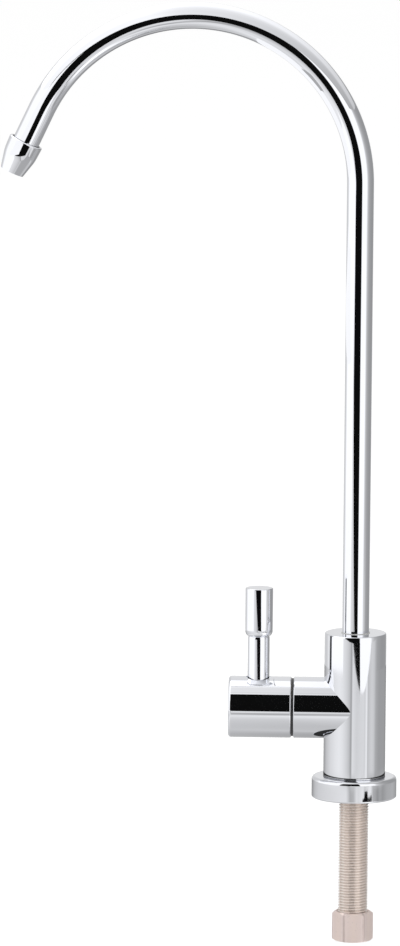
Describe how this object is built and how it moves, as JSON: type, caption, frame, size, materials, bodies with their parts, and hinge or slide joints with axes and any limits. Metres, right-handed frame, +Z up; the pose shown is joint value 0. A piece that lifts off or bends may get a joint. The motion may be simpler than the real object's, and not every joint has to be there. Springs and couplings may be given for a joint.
{
  "type": "drinking water tap",
  "caption": "Chrome drinking water filter tap with a swivelling gooseneck spout, a side lever on a ceramic disc valve, and a threaded inlet shank with a compression nut.",
  "frame": {"origin": "centre of the base flange's underside, where the tap rests on the deck", "axes": "+Z up along the column, -X towards the valve branch and the spout's mouth, -Y towards the user"},
  "size_m": [0.1491, 0.0316, 0.3518],
  "materials": {
    "chrome": "polished",
    "nickel": "satin nickel plate",
    "brass": "machined",
    "steel": "bright",
    "rubber": "matte",
    "nylon": "matte",
    "acetal": "matte",
    "ceramic": "lapped"
  },
  "bodies": {
    "body": {"tap_body": "chrome", "base_flange": "chrome", "base_gasket": "rubber", "shank": "nickel", "shank_seal": "rubber", "cartridge_housing": "brass", "housing_o_ring": "rubber", "seat_seal": "rubber", "fixed_disc": "ceramic", "thrust_washer": "nylon", "glide_ring": "acetal", "spout_bearing_ring": "nylon"},
    "spout": {"spout_tube": "chrome", "spout_nozzle": "chrome", "spout_tail": "brass", "spout_o_ring_upper": "rubber", "spout_o_ring_lower": "rubber", "spout_clip": "steel"},
    "handle": {"handle_knob": "chrome", "lever": "chrome", "lever_stud": "steel", "spindle": "brass", "rotating_disc": "ceramic", "spindle_o_ring_inner": "rubber", "spindle_o_ring_outer": "rubber", "spindle_clip": "steel"},
    "sleeve": {"ferrule": "brass"},
    "nut": {"compression_nut": "nickel"}
  },
  "joints": [
    {"name": "spout_swivel", "type": "hinge", "parent": "body", "child": "spout", "pos_m": [0, 0, 0.062], "axis": [0, 0, 1], "continuous": true},
    {"name": "lever_turn", "type": "hinge", "parent": "body", "child": "handle", "pos_m": [-0.036, 0, 0.0335], "axis": [1, 0, 0], "range_deg": [0, 90]},
    {"name": "nut_travel", "type": "slide", "parent": "body", "child": "sleeve", "axis": [0, 0, -1], "range_m": [0, 0.00846]},
    {"name": "nut_turn", "type": "hinge", "parent": "sleeve", "child": "nut", "pos_m": [0, 0, -0.0488], "axis": [0, 0, -1], "range_deg": [0, 2880]}
  ],
  "couplings": [
    {"joint": "nut_turn", "follows": "nut_travel", "rad_per_m": 5938.7}
  ]
}
